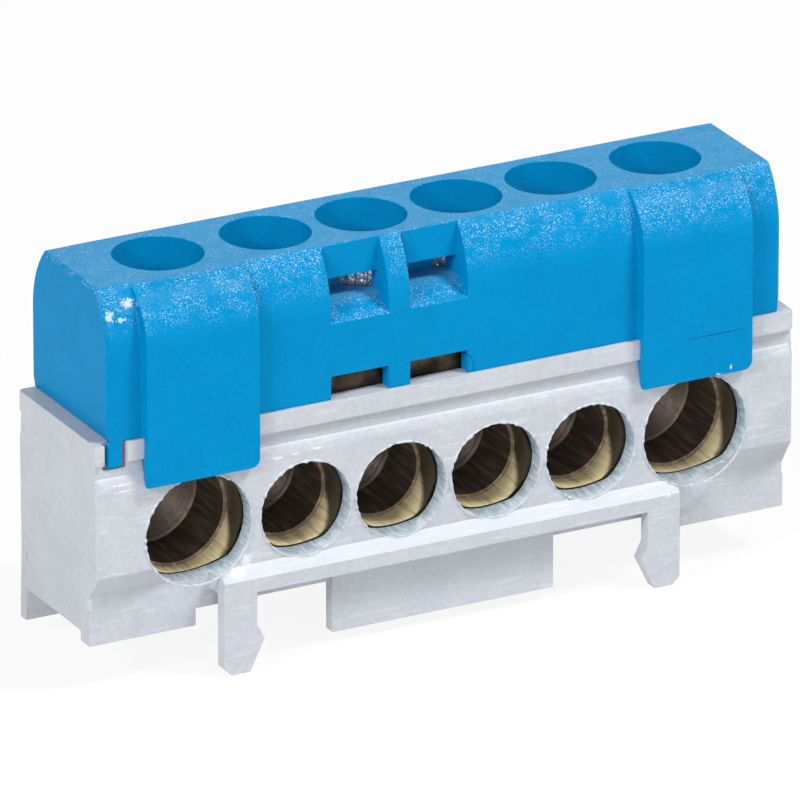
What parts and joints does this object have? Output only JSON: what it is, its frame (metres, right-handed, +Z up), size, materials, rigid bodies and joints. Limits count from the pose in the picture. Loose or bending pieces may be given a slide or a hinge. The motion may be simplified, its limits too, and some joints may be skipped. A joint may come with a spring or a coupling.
{
  "type": "neutral busbar",
  "caption": "Insulated neutral busbar: brass bar in a grey clip-on base under a blue cover, with round wire entries in front and clamp screws reached from the top.",
  "frame": {"origin": "centre of the footprint, at the height of the tips of the four clip legs", "axes": "+X along the bar to the right as seen from the wire entries, +Y from the wire entries to the back, +Z up to the screws"},
  "size_m": [0.047, 0.0118, 0.0254],
  "materials": {
    "grey_plastic": "moulded light grey plastic, fine satin",
    "blue_plastic": "moulded mid-blue plastic, fine satin",
    "brass": "sawn and drilled, bare",
    "plated_steel": "zinc plated, turned"
  },
  "bodies": {
    "housing": {"base_housing": "grey_plastic", "top_cover": "blue_plastic", "terminal_bar": "brass"},
    "screw_1": {"clamp_screw_1": "plated_steel"},
    "screw_2": {"clamp_screw_2": "plated_steel"},
    "screw_3": {"clamp_screw_3": "plated_steel"},
    "screw_4": {"clamp_screw_4": "plated_steel"},
    "screw_5": {"clamp_screw_5": "plated_steel"},
    "screw_6": {"clamp_screw_6": "plated_steel"}
  },
  "joints": [
    {"name": "screw_travel_1", "type": "slide", "parent": "housing", "child": "screw_1", "axis": [0, 0, 1], "range_m": [-0.0036, 0]},
    {"name": "screw_travel_2", "type": "slide", "parent": "housing", "child": "screw_2", "axis": [0, 0, 1], "range_m": [-0.0036, 0]},
    {"name": "screw_travel_3", "type": "slide", "parent": "housing", "child": "screw_3", "axis": [0, 0, 1], "range_m": [-0.0036, 0]},
    {"name": "screw_travel_4", "type": "slide", "parent": "housing", "child": "screw_4", "axis": [0, 0, 1], "range_m": [-0.0036, 0]},
    {"name": "screw_travel_5", "type": "slide", "parent": "housing", "child": "screw_5", "axis": [0, 0, 1], "range_m": [-0.0036, 0]},
    {"name": "screw_travel_6", "type": "slide", "parent": "housing", "child": "screw_6", "axis": [0, 0, 1], "range_m": [-0.0036, 0]}
  ]
}
